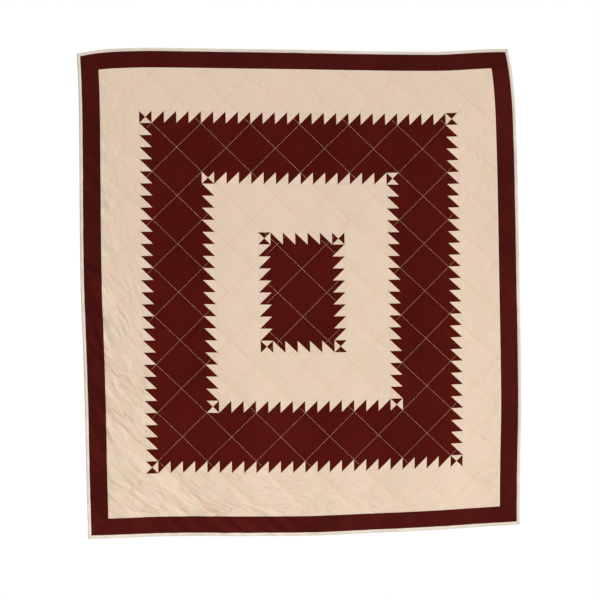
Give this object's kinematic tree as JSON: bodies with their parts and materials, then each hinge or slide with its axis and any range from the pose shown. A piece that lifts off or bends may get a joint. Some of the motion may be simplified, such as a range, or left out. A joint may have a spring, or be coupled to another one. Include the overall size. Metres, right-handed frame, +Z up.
{
  "type": "pieced quilt",
  "caption": "Pieced and quilted bed cover in maroon and cream, with nested sawtooth rings and plain borders, bound all round and hung from a cloth sleeve on its back.",
  "frame": {"origin": "middle of the line inside the hanging sleeve where the rod bears, at the top of the tunnel", "axes": "+X to the right as seen from the front, +Y out of the back, +Z up; the pieced front faces -Y"},
  "size_m": [1.8148, 0.026, 2.006],
  "materials": {
    "maroon_cotton": "plain-weave cotton, matt, faintly mottled",
    "cream_cotton": "plain-weave cotton, matt, warm cream",
    "ecru_binding": "plain-weave cotton binding, folded, matt",
    "cotton_batting": "soft needled cotton fibre",
    "muslin_backing": "unbleached plain-weave muslin, matt",
    "quilting_thread": "twisted cotton thread, tan"
  },
  "bodies": {
    "root": {"backing": "muslin_backing", "batting": "cotton_batting", "hanging_sleeve": "muslin_backing", "binding_top": "ecru_binding", "binding_left": "ecru_binding", "binding_bottom": "ecru_binding", "binding_right": "ecru_binding", "centre_panel": "maroon_cotton", "inner_ring_top_maroon_teeth": "maroon_cotton", "inner_ring_top_cream_teeth": "cream_cotton", "inner_ring_left_maroon_teeth": "maroon_cotton", "inner_ring_left_cream_teeth": "cream_cotton", "inner_ring_bottom_maroon_teeth": "maroon_cotton", "inner_ring_bottom_cream_teeth": "cream_cotton", "inner_ring_right_maroon_teeth": "maroon_cotton", "inner_ring_right_cream_teeth": "cream_cotton", "inner_ring_corner_top_left": "cream_cotton", "inner_ring_corner_top_right": "cream_cotton", "inner_ring_corner_bottom_left": "cream_cotton", "inner_ring_corner_bottom_right": "cream_cotton", "inner_cream_border_left": "cream_cotton", "inner_cream_border_right": "cream_cotton", "inner_cream_border_top": "cream_cotton", "inner_cream_border_bottom": "cream_cotton", "middle_ring_top_cream_teeth": "cream_cotton", "middle_ring_top_maroon_teeth": "maroon_cotton", "middle_ring_left_cream_teeth": "cream_cotton", "middle_ring_left_maroon_teeth": "maroon_cotton", "middle_ring_bottom_cream_teeth": "cream_cotton", "middle_ring_bottom_maroon_teeth": "maroon_cotton", "middle_ring_right_cream_teeth": "cream_cotton", "middle_ring_right_maroon_teeth": "maroon_cotton", "middle_ring_corner_top_left": "maroon_cotton", "middle_ring_corner_top_right": "maroon_cotton", "middle_ring_corner_bottom_left": "maroon_cotton", "middle_ring_corner_bottom_right": "maroon_cotton", "middle_maroon_border_left": "maroon_cotton", "middle_maroon_border_right": "maroon_cotton", "middle_maroon_border_top": "maroon_cotton", "middle_maroon_border_bottom": "maroon_cotton", "outer_ring_top_maroon_teeth": "maroon_cotton", "outer_ring_top_cream_teeth": "cream_cotton", "outer_ring_left_maroon_teeth": "maroon_cotton", "outer_ring_left_cream_teeth": "cream_cotton", "outer_ring_bottom_maroon_teeth": "maroon_cotton", "outer_ring_bottom_cream_teeth": "cream_cotton", "outer_ring_right_maroon_teeth": "maroon_cotton", "outer_ring_right_cream_teeth": "cream_cotton", "outer_ring_corner_top_left": "cream_cotton", "outer_ring_corner_top_right": "cream_cotton", "outer_ring_corner_bottom_left": "cream_cotton", "outer_ring_corner_bottom_right": "cream_cotton", "outer_cream_border_left": "cream_cotton", "outer_cream_border_right": "cream_cotton", "outer_cream_border_top": "cream_cotton", "outer_cream_border_bottom": "cream_cotton", "outer_maroon_border_left": "maroon_cotton", "outer_maroon_border_right": "maroon_cotton", "outer_maroon_border_top": "maroon_cotton", "outer_maroon_border_bottom": "maroon_cotton"}
  },
  "joints": []
}
